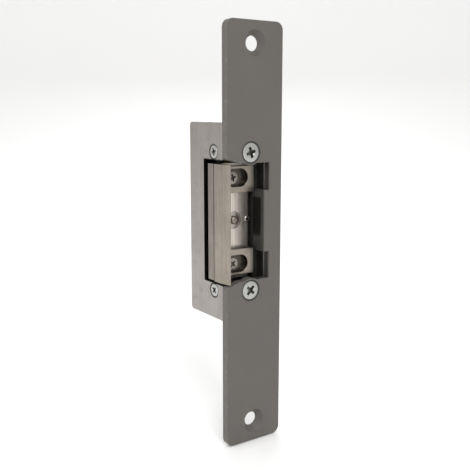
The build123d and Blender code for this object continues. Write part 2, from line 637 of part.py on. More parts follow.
# Yoke screw: countersunk screw through the case's right wall.
with BuildPart() as yoke_screw:
    start = (CASE_RIGHT, YOKE_SCREW_Y, YOKE_SCREW_Z)
    rod(start, LEFT, YOKE_SCREW_LENGTH, YOKE_SCREW_RADIUS)
    taper(start, LEFT, YOKE_SCREW_HEAD - YOKE_SCREW_RADIUS, YOKE_SCREW_HEAD, YOKE_SCREW_RADIUS)
    cross_recess(start, LEFT, YOKE_SCREW_HEAD)
save(yoke_screw.part, "yoke_screw")

# Coil leads: two insulated wires from the bobbin down to the terminal block.
with BuildPart() as coil_leads:
    for x in LEAD_X:
        rod((x, LEAD_Y, TERMINAL_Z[1]), UP, COIL_LOW - TERMINAL_Z[1], LEAD_RADIUS)
save(coil_leads.part, "coil_leads")

# Varistor: coated disc with two short legs, across the terminals.
with BuildPart() as varistor:
    rod((LEVER_X, DISC_Y[0], DISC_Z), BACK, DISC_Y[1] - DISC_Y[0], DISC_RADIUS)
    for x in (LEVER_X - LEG_SPREAD, LEVER_X + LEG_SPREAD):
        rod((x, LEG_Y, TERMINAL_Z[1]), UP, LEG_LENGTH, LEG_RADIUS)
save(varistor.part, "varistor")

# Terminal block: two poles; wires enter from below and the screws face the back.
with BuildPart() as terminal_block:
    block(TERMINAL_X, TERMINAL_Y, TERMINAL_Z)
    for x in POLE_X:
        block((x - CAGE_HALF, x + CAGE_HALF), CAGE_Y, CAGE_Z, Mode.SUBTRACT)
        rod((x, WIRE_Y, TERMINAL_Z[0]), UP, ENTRY_DEPTH, ENTRY_RADIUS, Mode.SUBTRACT)
        access = (x, CLAMP_Y[0], POLE_SCREW_Z)
        rod(access, BACK, TERMINAL_Y[1] - CLAMP_Y[0] + 1, CLAMP_ACCESS, Mode.SUBTRACT)
save(terminal_block.part, "terminal_block")

# Terminal cages: brass clamps, one in each pole.
with BuildPart() as terminal_cages:
    for x in POLE_X:
        block((x - CAGE_HALF, x + CAGE_HALF), CAGE_Y, CAGE_Z)
        rod((x, WIRE_Y, CAGE_Z[0]), UP, CAGE_Z[1] - CAGE_Z[0], CAGE_BORE, Mode.SUBTRACT)
        rod((x, WIRE_Y, POLE_SCREW_Z), BACK, CAGE_Y[1] - WIRE_Y, CLAMP_RADIUS, Mode.SUBTRACT)
save(terminal_cages.part, "terminal_cages")

# Terminal screws: slotted, one for each pole.
with BuildPart() as terminal_screws:
    for x in POLE_X:
        rod((x, CLAMP_Y[1], POLE_SCREW_Z), BACK, CLAMP_Y[2] - CLAMP_Y[1], CLAMP_RADIUS)
        rod((x, CLAMP_Y[3], POLE_SCREW_Z), BACK, CLAMP_Y[4] - CLAMP_Y[3], CLAMP_HEAD)
        slot_y = (CLAMP_Y[4] - CLAMP_SLOT_DEPTH, CLAMP_Y[4])
        slot_z = (POLE_SCREW_Z - CLAMP_SLOT_HALF, POLE_SCREW_Z + CLAMP_SLOT_HALF)
        block((x - CLAMP_HEAD, x + CLAMP_HEAD), slot_y, slot_z, Mode.SUBTRACT)
save(terminal_screws.part, "terminal_screws")
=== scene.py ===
import math

import bmesh
import bpy
from mathutils import Matrix, Vector


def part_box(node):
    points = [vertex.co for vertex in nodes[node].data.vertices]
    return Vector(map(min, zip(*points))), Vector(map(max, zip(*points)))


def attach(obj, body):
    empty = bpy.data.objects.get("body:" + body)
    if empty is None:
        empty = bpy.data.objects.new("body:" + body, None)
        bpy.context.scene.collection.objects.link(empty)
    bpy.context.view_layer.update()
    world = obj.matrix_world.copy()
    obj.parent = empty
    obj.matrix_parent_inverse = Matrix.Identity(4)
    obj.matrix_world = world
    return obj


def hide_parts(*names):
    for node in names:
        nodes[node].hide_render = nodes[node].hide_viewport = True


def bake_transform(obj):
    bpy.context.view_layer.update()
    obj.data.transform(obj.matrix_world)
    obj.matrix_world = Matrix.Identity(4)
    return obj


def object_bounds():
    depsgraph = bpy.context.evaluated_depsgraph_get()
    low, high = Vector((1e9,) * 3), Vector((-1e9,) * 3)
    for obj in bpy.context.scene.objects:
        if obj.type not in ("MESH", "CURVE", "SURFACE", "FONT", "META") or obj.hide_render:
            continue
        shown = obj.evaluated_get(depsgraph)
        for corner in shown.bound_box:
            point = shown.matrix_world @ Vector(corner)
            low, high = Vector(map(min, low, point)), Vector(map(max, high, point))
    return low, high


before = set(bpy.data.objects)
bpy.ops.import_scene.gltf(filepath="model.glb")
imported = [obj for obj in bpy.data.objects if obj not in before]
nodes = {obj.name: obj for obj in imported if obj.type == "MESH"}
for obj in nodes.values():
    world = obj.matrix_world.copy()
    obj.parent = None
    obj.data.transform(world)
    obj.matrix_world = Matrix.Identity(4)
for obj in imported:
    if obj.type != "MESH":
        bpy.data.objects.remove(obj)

cad_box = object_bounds()
MM = 0.001


# Camera. It stands in front of the plate, to the left of it and a little above its middle,
# so that the open side of the keeper and the cover beside it both show.
AZIMUTH = math.radians(-34.5)
ELEVATION = math.radians(10.1)
DISTANCE = 264 * MM
AIM_RIGHT = -5.65 * MM
AIM_UP = 1.7 * MM
look = Vector((-math.sin(AZIMUTH), math.cos(AZIMUTH), 0)) * math.cos(ELEVATION)
look.z = -math.sin(ELEVATION)
across = Vector((math.cos(AZIMUTH), math.sin(AZIMUTH), 0))
aim = across * AIM_RIGHT + across.cross(look) * AIM_UP
camera = bpy.data.objects.new("camera", bpy.data.cameras.new("camera"))
camera.data.lens = 53.3
camera.data.sensor_width = 36
camera.data.clip_start = 0.01
camera.location = aim - look * DISTANCE
camera.rotation_euler = look.to_track_quat("-Z", "Y").to_euler()
bpy.context.scene.collection.objects.link(camera)
bpy.context.scene.camera = camera


# Floor and backdrop: one pale paper sheet that curves up behind, as in a product studio.
# The strike stands just above it.
class Shade:
    """A value in a material's node tree. Arithmetic on it adds the Math nodes it needs."""

    def __init__(self, tree, socket=None):
        self.tree = tree
        self.socket = socket

    def node(self, kind, settings, inputs, output=0):
        """Adds a node of any type: settings first, then the values or links of its sockets."""
        made = self.tree.nodes.new(kind)
        for name, value in settings.items():
            if name == "stops":
                elements = made.color_ramp.elements
                elements.remove(elements[1])
                elements[0].position, elements[0].color = value[0]
                for place, colour in value[1:]:
                    elements.new(place).color = colour
            else:
                setattr(made, name, value)
        for name, value in inputs.items():
            if isinstance(value, Shade):
                self.tree.links.new(value.socket, made.inputs[name])
            else:
                made.inputs[name].default_value = value
        return Shade(self.tree, made.outputs[output])

    def math(self, operation, *values):
        return self.node("ShaderNodeMath", {"operation": operation}, dict(enumerate(values)))

    def __add__(self, other):
        return self.math("ADD", self, other)

    __radd__ = __add__

    def __sub__(self, other):
        return self.math("SUBTRACT", self, other)

    def __rsub__(self, other):
        return self.math("SUBTRACT", other, self)

    def __mul__(self, other):
        return self.math("MULTIPLY", self, other)

    __rmul__ = __mul__

    def __truediv__(self, other):
        return self.math("DIVIDE", self, other)

    def __pow__(self, other):
        return self.math("POWER", self, other)

    def __abs__(self):
        return self.math("ABSOLUTE", self)

    def ramp(self, low, high):
        """This value brought from low..high to 0..1, and held inside it."""
        settings = {"interpolation_type": "SMOOTHSTEP"}
        return self.node("ShaderNodeMapRange", settings, {0: self, 1: low, 2: high})

    def mix(self, first, second):
        """The first colour where this mask is 0, the second where it is 1."""
        settings = {"data_type": "RGBA"}
        return self.node("ShaderNodeMix", settings, {0: self, 6: first, 7: second}, 2)

    def place(self):
        """The point on the object, in metres."""
        return self.node("ShaderNodeTexCoord", {}, {}, 3)

    def axis(self, which):
        return self.node("ShaderNodeSeparateXYZ", {}, {0: self.place()}, which)

    def noise(self, scale, detail=3.0, stretch=(1, 1, 1), rough=0.55):
        """Noise with features about 1/scale metres wide, drawn out where stretch is small."""
        spread = self.node("ShaderNodeVectorMath", {"operation": "MULTIPLY"},
                           {0: self.place(), 1: stretch})
        inputs = {"Vector": spread, "Scale": scale, "Detail": detail, "Roughness": rough}
        return self.node("ShaderNodeTexNoise", {}, inputs)

    def bump(self, strength, distance):
        return self.node("ShaderNodeBump", {}, {"Height": self, "Strength": strength,
                                                "Distance": distance})


def new_finish(name, **constants):
    """A material with a Principled shader: returns it, its shader and a Shade to start from."""
    material = bpy.data.materials.new(name)
    material.use_nodes = True
    tree = material.node_tree
    tree.nodes.clear()
    shader = tree.nodes.new("ShaderNodeBsdfPrincipled")
    output = tree.nodes.new("ShaderNodeOutputMaterial")
    tree.links.new(shader.outputs[0], output.inputs[0])
    for socket, value in constants.items():
        shader.inputs[socket.replace("_", " ")].default_value = value
    return material, shader, Shade(tree)


def feed(shader, **links):
    """Links values that change over the surface to the shader's sockets."""
    for socket, value in links.items():
        value.tree.links.new(value.socket, shader.inputs[socket.replace("_", " ")])


def dress(piece, material):
    """Gives a piece or a carried-over CAD node one material."""
    piece.data.materials.clear()
    piece.data.materials.append(material)


FLOOR_Z = cad_box[0][2] - 0.4 * MM
FLOOR_REACH = 3.0
WALL_AT = 1.6
paper, shader, at = new_finish("studio_paper", Roughness=0.9)
tone = at.noise(3.0, 2.0)
feed(shader, Base_Color=tone.mix((0.93, 0.93, 0.93, 1), (0.96, 0.96, 0.96, 1)))
sheet = bmesh.new()
profile = [(-FLOOR_REACH, 0.0)]
bend = 0.6
for step in range(13):
    turn = math.radians(90 * step / 12)
    profile.append((WALL_AT - bend + bend * math.sin(turn), bend - bend * math.cos(turn)))
profile.append((WALL_AT, FLOOR_REACH))
rows = []
for side in (-FLOOR_REACH, FLOOR_REACH):
    rows.append([sheet.verts.new((side, y, FLOOR_Z + z)) for y, z in profile])
for i in range(len(profile) - 1):
    sheet.faces.new((rows[0][i], rows[1][i], rows[1][i + 1], rows[0][i + 1]))
backdrop_mesh = bpy.data.meshes.new("backdrop")
sheet.to_mesh(backdrop_mesh)
backdrop = bpy.data.objects.new("backdrop", backdrop_mesh)
for face in backdrop_mesh.polygons:
    face.use_smooth = True
backdrop.rotation_euler.z = AZIMUTH
bpy.context.scene.collection.objects.link(backdrop)
dress(backdrop, paper)


# Studio light: an even pale surround, a soft key from the front left, a side light for the
# cover and one from behind, so that the plated faces pick up soft gradients.
world = bpy.data.worlds.new("surround")
world.use_nodes = True
world.node_tree.nodes["Background"].inputs[0].default_value = (1.0, 0.995, 0.985, 1)
world.node_tree.nodes["Background"].inputs[1].default_value = 0.78
bpy.context.scene.world = world
bpy.context.scene.view_settings.view_transform = "Standard"


def soft_light(name, place, size, watts):
    """A square area light aimed at the middle of the strike."""
    lamp = bpy.data.lights.new(name, "AREA")
    lamp.size = size
    lamp.energy = watts
    light = bpy.data.objects.new(name, lamp)
    light.location = place
    light.rotation_euler = (-Vector(place)).to_track_quat("-Z", "Y").to_euler()
    bpy.context.scene.collection.objects.link(light)


soft_light("key", (-0.35, -0.9, 0.8), 0.5, 7.0)
soft_light("side", (-1.0, 0.1, 0.35), 0.4, 2.5)
soft_light("back", (0.6, 0.9, 0.7), 0.6, 4.0)


# Faceplate: 3 mm steel strip, punched, countersunk and powder coated in a satin warm grey.
# The coat has a fine orange peel and faint mottling, and a painted highlight lightens it along its
# edges.
# Rings round the two screws are painted shade, for the gaps round their heads.
coat, shader, at = new_finish("grey_powder_coat", Specular_IOR_Level=0.4)
peel = at.noise(1300.0, 3.0)
cloud = at.noise(60.0, 3.0)
speck = at.noise(5200.0, 2.0).ramp(0.62, 0.75)
plate_low, plate_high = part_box("faceplate")
from_edge = (plate_high.x - plate_low.x) / 2 - abs(at.axis(0))
# Lighter patches along the long edges are a painted highlight.
painted_edge_highlight = (1 - from_edge.ramp(0.0, 0.7 * MM)) * at.noise(420.0, 4.0).ramp(0.5, 0.75)
heads_low, heads_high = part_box("faceplate_screws")
head_radius = (heads_high.x - heads_low.x) / 2
off_x = at.axis(0) - (heads_low.x + heads_high.x) / 2
head_z = (heads_high.z - heads_low.z) / 2 - head_radius
off_z = abs(at.axis(2) - (heads_low.z + heads_high.z) / 2) - head_z
from_screw = (off_x * off_x + off_z * off_z) ** 0.5
# A ring round each screw head is painted shade, for the gap round it.
screw_gap_shade = 1 - from_screw.ramp(head_radius + 0.15 * MM, head_radius + 0.45 * MM)
base = cloud.mix((0.096, 0.089, 0.082, 1), (0.111, 0.104, 0.096, 1))
base = (speck * 0.35).mix(base, (0.17, 0.165, 0.157, 1))
base = (painted_edge_highlight * 0.2).mix(base, (0.30, 0.29, 0.27, 1))
# Faces inside the opening get painted shade by their place, and a patch on the tab is near-black
# painted shade.
inside = (at.axis(0).ramp(1.5 * MM, 2.5 * MM) * (1 - at.axis(0).ramp(6.85 * MM, 7.0 * MM))
          * at.axis(1).ramp(plate_low.y + 0.4 * MM, plate_low.y + 1.2 * MM))
opening_mid = (heads_low.z + heads_high.z) / 2
height = at.axis(2) - opening_mid
inside = inside * (1 - abs(height).ramp(22.6 * MM, 22.8 * MM))
shade_mottle = at.noise(140.0, 3.0, (1, 1, 0.4)).ramp(0.35, 0.65)
opening_shade = shade_mottle.mix((0.020, 0.021, 0.021, 1), (0.052, 0.052, 0.051, 1))
tab_shade = (height.ramp(-6.5 * MM, -5.5 * MM) * (1 - height.ramp(8.2 * MM, 9.4 * MM))
             * at.axis(1).ramp(-0.9 * MM, -0.4 * MM))
opening_shade = (tab_shade * 0.9).mix(opening_shade, (0.004, 0.004, 0.004, 1))
base = (inside * 0.93).mix(base, opening_shade)
base = (screw_gap_shade * 0.85).mix(base, (0.025, 0.025, 0.023, 1))
feed(shader, Base_Color=base, Metallic=inside * tab_shade * 0.95,
     Roughness=0.42 + peel * 0.14 + cloud * 0.08,
     Normal=(peel + speck * 0.3).bump(0.35, 0.04 * MM))
dress(nodes["faceplate"], coat)


# Housing: die-cast zinc box, bead blasted and nickel plated. It holds the keeper's axle, the
# solenoid and the terminals, and the faceplate is screwed to its two end blocks.
def plated(name, warm, cool, roughness, grain, direction, depth):
    """Nickel or zinc plate: cloudy tone, fine lines along one direction and dull patches."""
    material, shader, at = new_finish(name, Metallic=1.0)
    lines = at.noise(grain, 4.0, direction, 0.65)
    cloud = at.noise(90.0, 3.0)
    stain = at.noise(260.0, 4.0).ramp(0.5, 0.8)
    tone = (lines * 0.6 + cloud * 0.4).ramp(0.3, 0.7).mix(warm, cool)
    dull = tuple(0.72 * part for part in warm[:3]) + (1,)
    feed(shader, Base_Color=(stain * 0.35).mix(tone, dull),
         Roughness=roughness + lines * 0.16 + stain * 0.10,
         Normal=lines.bump(0.25, depth))
    return material


ALL_WAYS = (1, 1, 1)
ALONG_Z = (1, 1, 0.02)
casting = plated("nickel_casting", (0.40, 0.385, 0.36, 1), (0.50, 0.485, 0.46, 1), 0.28, 1500.0,
                 ALL_WAYS, 0.03 * MM)
# The outside and the front rim have the bright plate. The inside gets a dark painted shade by its
# place.
shader = casting.node_tree.nodes["Principled BSDF"]
at = Shade(casting.node_tree)
case_low, case_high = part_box("housing")
skin = 0.25 * MM
right_side = at.axis(0).ramp(case_high.x - 2 * skin, case_high.x - skin)
back_side = at.axis(1).ramp(case_high.y - 2 * skin, case_high.y - skin)
outer = at.math("MAXIMUM", right_side, back_side)
rim = 1 - at.axis(1).ramp(case_low.y + skin, case_low.y + 2 * skin)
outer = outer.math("MAXIMUM", outer, rim)
ends = (abs(at.axis(2) - (case_low.z + case_high.z) / 2)
        .ramp((case_high.z - case_low.z) / 2 - 2 * skin, (case_high.z - case_low.z) / 2 - skin))
outside = outer.math("MAXIMUM", outer, ends)
plate_colour = Shade(casting.node_tree, shader.inputs["Base Color"].links[0].from_socket)
plate_rough = Shade(casting.node_tree, shader.inputs["Roughness"].links[0].from_socket)
housing_inside_shade = at.noise(700.0, 4.0).mix((0.035, 0.036, 0.034, 1), (0.075, 0.075, 0.070, 1))
feed(shader, Base_Color=outside.mix(housing_inside_shade, plate_colour),
     Roughness=plate_rough + (1 - outside) * 0.3)


def softened(node, width, body):
    """A copy of a CAD node that stands for it, with its sharp edges given a small radius."""
    mesh = bmesh.new()
    mesh.from_mesh(nodes[node].data)
    bmesh.ops.remove_doubles(mesh, verts=mesh.verts, dist=0.002 * MM)
    flat = math.radians(0.5)
    bmesh.ops.dissolve_limit(mesh, angle_limit=flat, verts=mesh.verts, edges=mesh.edges)
    for face in mesh.faces:
        face.smooth = True
    data = bpy.data.meshes.new(node + "_shape")
    mesh.to_mesh(data)
    piece = bpy.data.objects.new(node + "_shape", data)
    bpy.context.scene.collection.objects.link(piece)
    rounding = piece.modifiers.new("edge", "BEVEL")
    rounding.width = width
    rounding.segments = 2
    rounding.limit_method = "ANGLE"
    rounding.angle_limit = math.radians(28)
    rounding.use_clamp_overlap = True
    cornering = piece.modifiers.new("flats", "WEIGHTED_NORMAL")
    cornering.mode = "FACE_AREA"
    cornering.weight = 80
    return settle(piece, node, body)


def settle(piece, node, body):
    """Applies a piece's modifiers, puts it on its body and lets it stand for a CAD node."""
    graph = bpy.context.evaluated_depsgraph_get()
    shape = bpy.data.meshes.new_from_object(piece.evaluated_get(graph))
    piece.modifiers.clear()
    piece.data = shape
    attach(piece, body)
    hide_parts(node)
    return piece


housing = softened("housing", 0.25 * MM, "frame")
dress(housing, casting)


# Side cover: 1.2 mm sheet, nickel plated and rolled lengthways. Two small screws hold it on the
# case's open side. The edge of its cut-out and rings round its screws get painted shade.
sheet_metal = plated("nickel_sheet", (0.315, 0.293, 0.273, 1), (0.381, 0.359, 0.338, 1), 0.30, 900.0,
                     ALONG_Z, 0.01 * MM)
cover_low, cover_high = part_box("side_cover")
cover_mid = (cover_low + cover_high) / 2
inside_cut = [v.co for v in nodes["side_cover"].data.vertices
              if abs(v.co.z - cover_mid.z) < 23.4 * MM and v.co.y < cover_high.y - 3 * MM]
cut_back = max(spot.y for spot in inside_cut)
cut_half = max(abs(spot.z - cover_mid.z) for spot in inside_cut if spot.y > cover_low.y + MM)
shader = sheet_metal.node_tree.nodes["Principled BSDF"]
at = Shade(sheet_metal.node_tree)
# The cut-out's edge gets a near-black painted shade.
cut_edge_step = 0.1 * MM
in_y = 1 - at.axis(1).ramp(cut_back + cut_edge_step, cut_back + 2 * cut_edge_step)
in_z = 1 - abs(at.axis(2) - cover_mid.z).ramp(cut_half + cut_edge_step, cut_half + 2 * cut_edge_step)
cut_edge_shade = in_y * in_z
bright = Shade(sheet_metal.node_tree, shader.inputs["Base Color"].links[0].from_socket)
small_low, small_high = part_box("cover_screws")
small_radius = (small_high.y - small_low.y) / 2
off_y = at.axis(1) - (small_low.y + small_high.y) / 2
small_z = (small_high.z - small_low.z) / 2 - small_radius
off_z = abs(at.axis(2) - (small_low.z + small_high.z) / 2) - small_z
from_screw = (off_y * off_y + off_z * off_z) ** 0.5
# A ring round each screw head is painted shade, for the gap round it.
ring = 1 - from_screw.ramp(small_radius + 0.2 * MM, small_radius + 0.4 * MM)
bright = (ring * 0.8).mix(bright, (0.03, 0.03, 0.028, 1))
feed(shader, Base_Color=cut_edge_shade.mix(bright, (0.018, 0.018, 0.017, 1)))
cover = softened("side_cover", 0.12 * MM, "frame")
dress(cover, sheet_metal)


# Keeper: the swinging jaw, cast and nickel plated, which turns on the axle in two bushes.
# A thin line beside the lip is painted shade.
jaw_metal = plated("keeper_nickel", (0.215, 0.19, 0.163, 1), (0.305, 0.275, 0.242, 1), 0.24, 2200.0,
                   ALONG_Z, 0.012 * MM)
lip_low, lip_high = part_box("keeper_lip")
keeper_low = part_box("keeper")[0]
shader = jaw_metal.node_tree.nodes["Principled BSDF"]
at = Shade(jaw_metal.node_tree)
# A thin painted shade beside the lip.
lip_seam_shade = ((1 - at.axis(1).ramp(lip_high.y + 0.9 * MM, lip_high.y + 1.2 * MM))
        * (1 - at.axis(0).ramp(keeper_low.x + 0.1 * MM, keeper_low.x + 0.3 * MM)))
ground = Shade(jaw_metal.node_tree, shader.inputs["Base Color"].links[0].from_socket)
# Its front is lighter than its sides by a painted reflection; the dark ring and crescent round the
# plunger are painted shade.
face_y = lip_high.y
front = ((1 - at.axis(1).ramp(face_y + 0.25 * MM, face_y + 0.6 * MM))
         * at.axis(0).ramp(keeper_low.x + 2.2 * MM, keeper_low.x + 2.6 * MM))
lines = at.noise(1800.0, 4.0, ALONG_Z)
bright = lines.ramp(0.3, 0.7).mix((0.60, 0.53, 0.475, 1), (0.76, 0.69, 0.63, 1))
pin_low, pin_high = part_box("plunger")
pin = (pin_low + pin_high) / 2
off_x = at.axis(0) - pin.x
off_z = at.axis(2) - pin.z
from_pin = (off_x * off_x + off_z * off_z) ** 0.5
# The ring and crescent round the plunger are painted shade.
wall = from_pin.ramp(2.95 * MM, 3.15 * MM) * (1 - from_pin.ramp(3.25 * MM, 3.4 * MM))
shade_side = off_x.ramp(0.2 * MM, 1.6 * MM) * (1 - from_pin.ramp(2.6 * MM, 3.0 * MM))
plunger_recess_shade = wall.math("MAXIMUM", wall * 0.6, shade_side * 0.75)
ground = front.mix(ground, bright)
ground = plunger_recess_shade.mix(ground, (0.035, 0.03, 0.026, 1))
feed(shader, Base_Color=(lip_seam_shade * 0.9).mix(ground, (0.03, 0.028, 0.024, 1)))
keeper = softened("keeper", 0.15 * MM, "keeper")
dress(keeper, jaw_metal)


# Keeper lip: L-shaped jaw plate, drawn and nickel plated, so its faces carry long vertical lines.
# Two screws clamp its slotted feet. The pockets round them get painted shade.
lip_metal = plated("drawn_nickel", (0.258, 0.225, 0.19, 1), (0.355, 0.317, 0.273, 1), 0.22, 2600.0,
                   ALONG_Z, 0.014 * MM)
shader = lip_metal.node_tree.nodes["Principled BSDF"]
at = Shade(lip_metal.node_tree)
foot_front = lip_high.y - 3.2 * MM
# The pockets round the screws get painted shade.
sunk = (at.axis(1).ramp(foot_front + 0.25 * MM, foot_front + 0.8 * MM)
        * at.axis(0).ramp(lip_low.x + 2.4 * MM, lip_low.x + 2.8 * MM)
        * (1 - at.axis(0).ramp(lip_high.x - 1.9 * MM, lip_high.x - 1.5 * MM)))
drawn = Shade(lip_metal.node_tree, shader.inputs["Base Color"].links[0].from_socket)
pocket_shade = at.noise(900.0, 4.0).mix((0.02, 0.018, 0.015, 1), (0.10, 0.09, 0.075, 1))
feed(shader, Base_Color=(sunk * 0.92).mix(drawn, pocket_shade))
lip = softened("keeper_lip", 0.12 * MM, "keeper_lip")
dress(lip, lip_metal)


# Screws: zinc-plated steel, cold headed and thread rolled, with a cross recess that has four
# short marks between its wings. Two hold the faceplate, two the cover, two the lip, one the yoke.
zinc = plated("bright_zinc", (0.36, 0.37, 0.355, 1), (0.54, 0.545, 0.525, 1), 0.26, 1800.0,
              ALL_WAYS, 0.012 * MM)
# The cross recesses take a darker material, which is painted shade.
recess_dark = plated("recess_shade", (0.05, 0.05, 0.048, 1), (0.24, 0.24, 0.23, 1), 0.42, 1600.0,
                     ALL_WAYS, 0.02 * MM)
ROUND_STEPS = 40
THREAD_DEPTH = 0.16


def turned(rings, thread):
    """A closed solid of revolution about Z from (radius, z) rings, the first and last at r 0.
    thread is (top, bottom, pitch) of the stretch whose wall follows a helix."""
    mesh = bmesh.new()
    loops = []
    for radius, z in rings:
        if radius == 0:
            loops.append([mesh.verts.new((0, 0, z))])
            continue
        loop = []
        for step in range(ROUND_STEPS):
            turn = 2 * math.pi * step / ROUND_STEPS
            reach = radius
            if thread[1] < z < thread[0]:
                phase = (z / thread[2] - step / ROUND_STEPS) % 1
                reach -= THREAD_DEPTH * radius * abs(2 * phase - 1)
            loop.append(mesh.verts.new((reach * math.cos(turn), reach * math.sin(turn), z)))
        loops.append(loop)
    for first, second in zip(loops, loops[1:]):
        for step in range(ROUND_STEPS):
            after = (step + 1) % ROUND_STEPS
            a, b = first[step % len(first)], first[after % len(first)]
            c, d = second[after % len(second)], second[step % len(second)]
            mesh.faces.new([v for i, v in enumerate((a, b, c, d)) if v not in (a, b, c, d)[:i]])
    bmesh.ops.recalc_face_normals(mesh, faces=mesh.faces)
    return mesh


def cross_cutter(reach, wing, depth, turn):
    """A tapering cross-shaped plug that is cut out of a screw head."""
    mesh = bmesh.new()
    rings = []
    for share, z in ((1.0, 0.3 * depth), (0.62, -depth)):
        ring = []
        for quarter in range(4):
            angle = turn + quarter * math.pi / 2
            for along, side in ((wing, -wing), (reach, -wing), (reach, wing)):
                x, y = along * share, side * share ** 0.5
                if along == wing:
                    x, y = wing, -wing
                ring.append(mesh.verts.new((x * math.cos(angle) - y * math.sin(angle),
                                            x * math.sin(angle) + y * math.cos(angle), z)))
        rings.append(ring)
    mesh.faces.new(rings[0])
    mesh.faces.new(list(reversed(rings[1])))
    for step in range(12):
        after = (step + 1) % 12
        mesh.faces.new((rings[0][after], rings[0][step], rings[1][step], rings[1][after]))
    bmesh.ops.recalc_face_normals(mesh, faces=mesh.faces)
    data = bpy.data.meshes.new("cutter")
    mesh.to_mesh(data)
    cutter = bpy.data.objects.new("cutter", data)
    bpy.context.scene.collection.objects.link(cutter)
    return cutter


def screws(name, spots, outward, head, shank, length, sunk, pitch, body, metal=zinc):
    """Like screws as one piece: a sunk cone head or a cheese head, thread and cross recess."""
    head -= 0.28 * MM
    rim = 0.06 * head
    rings = [(0, 0), (0.5 * head, -0.01 * head), (head - 2 * rim, -0.03 * head),
             (head - 0.5 * rim, -0.03 * head - 0.5 * rim), (head, -0.03 * head - 1.6 * rim)]
    under = sunk if sunk else head - shank
    rings += [(head, -under + (0.01 * MM))] if sunk else []
    rings.append((shank, -under if sunk else -under - 0.03 * head))
    first = rings[-1][1] - 0.1 * MM
    tip = -length
    count = round((first - tip) / pitch * 6)
    rings += [(shank, first + (tip - first) * i / count) for i in range(count)]
    rings += [(0.8 * shank, tip), (0, tip)]
    mesh = turned(rings, (first - 0.3 * MM, tip + 0.05 * MM, pitch))
    data = bpy.data.meshes.new(name + "_shape")
    mesh.to_mesh(data)
    piece = bpy.data.objects.new(name + "_shape", data)
    bpy.context.scene.collection.objects.link(piece)
    cutters = [cross_cutter(0.64 * head, 0.16 * head, 0.42 * head, 0.3),
               cross_cutter(0.50 * head, 0.045 * head, 0.10 * head, 0.3 + math.pi / 4)]
    for cutter in cutters:
        cut = piece.modifiers.new("recess", "BOOLEAN")
        cut.object = cutter
        cut.operation = "DIFFERENCE"
        cut.solver = "EXACT"
    graph = bpy.context.evaluated_depsgraph_get()
    one = bpy.data.meshes.new_from_object(piece.evaluated_get(graph))
    for cutter in cutters:
        bpy.data.objects.remove(cutter)
    piece.modifiers.clear()
    for face in one.polygons:
        spot = face.center
        deep = -0.45 * head < spot.z < -0.07 * head
        if deep and math.hypot(spot.x, spot.y) < 0.93 * (head + spot.z) - 0.05 * head:
            face.material_index = 1
    group = bmesh.new()
    for number, spot in enumerate(spots):
        copy = bmesh.new()
        copy.from_mesh(one)
        lean = Vector(outward).to_track_quat("Z", "Y").to_matrix().to_4x4()
        spin = Matrix.Rotation(0.55 * number, 4, "Z")
        copy.transform(Matrix.Translation(spot) @ lean @ spin)
        part = bpy.data.meshes.new("part")
        copy.to_mesh(part)
        group.from_mesh(part)
    group.to_mesh(piece.data)
    for face in piece.data.polygons:
        face.use_smooth = True
    piece.data.set_sharp_from_angle(angle=math.radians(32))
    piece.data.materials.append(metal)
    piece.data.materials.append(recess_dark)
    settle(piece, name, body)


low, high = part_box("faceplate_screws")
radius = (high.x - low.x) / 2
middle = (low.x + high.x) / 2
screws("faceplate_screws", [(middle, low.y, high.z - radius), (middle, low.y, low.z + radius)],
       (0, -1, 0), radius, 2.0 * MM, high.y - low.y, 0, 0.7 * MM, "frame")
low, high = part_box("cover_screws")
radius = (high.y - low.y) / 2
middle = (low.y + high.y) / 2
screws("cover_screws", [(low.x, middle, high.z - radius), (low.x, middle, low.z + radius)],
       (-1, 0, 0), radius, 1.5 * MM, high.x - low.x, 0, 0.5 * MM, "frame")
dull_nickel = plated("dull_nickel", (0.20, 0.18, 0.155, 1), (0.40, 0.37, 0.33, 1), 0.30, 1500.0,
                     ALL_WAYS, 0.02 * MM)
low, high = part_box("lip_screws")
radius = (high.x - low.x) / 2
middle = (low.x + high.x) / 2
screws("lip_screws", [(middle, low.y, high.z - radius), (middle, low.y, low.z + radius)],
       (0, -1, 0), radius, 1.5 * MM, high.y - low.y, 1.7 * MM, 0.5 * MM, "keeper", dull_nickel)
low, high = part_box("yoke_screw")
screws("yoke_screw", [(high.x, (low.y + high.y) / 2, (low.z + high.z) / 2)],
       (1, 0, 0), (high.y - low.y) / 2, 1.25 * MM, high.x - low.x, 0, 0.45 * MM, "frame")


# Pins: drawn and ground steel. The lever's pin sits in the case's webs, the armature's in the
# yoke's ears, and the slit roll pin is pressed into the keeper.
steel = plated("ground_steel", (0.46, 0.455, 0.445, 1), (0.62, 0.615, 0.60, 1), 0.18, 3000.0,
               ALL_WAYS, 0.005 * MM)
for name in ("lever_pin", "roll_pin", "armature_pin"):
    dress(nodes[name], steel)


# Plunger: turned steel pin with a domed end, nickel plated like the lip's screws. A spring
# behind it pushes it out of the keeper's face.
dress(nodes["plunger"], dull_nickel)


# Keeper axle: plain steel bar, coloured near black, held in both end blocks of the case. The
# keeper's bushes turn on it.
black_steel = plated("near_black_steel", (0.012, 0.012, 0.012, 1), (0.03, 0.03, 0.029, 1), 0.4,
                     1500.0, ALL_WAYS, 0.01 * MM)
dress(nodes["keeper_axle"], black_steel)


# Brass pieces: the keeper's turned bushes, the slotted plug that closes the plunger's cup, and
# the two clamps in the terminal block.
brass = plated("turned_brass", (0.56, 0.39, 0.15, 1), (0.72, 0.54, 0.25, 1), 0.22, 2400.0,
               ALONG_Z, 0.008 * MM)
for name in ("keeper_bushes", "plunger_plug", "terminal_cages"):
    dress(nodes[name], brass)


# Coil springs: hard-drawn steel wire. The two push springs are wound with closed ends. The
# keeper's torsion spring has two legs: one runs straight back, the other bends and runs across.
wire_steel = plated("spring_wire", (0.20, 0.20, 0.21, 1), (0.34, 0.34, 0.35, 1), 0.30, 2600.0,
                    ALL_WAYS, 0.006 * MM)


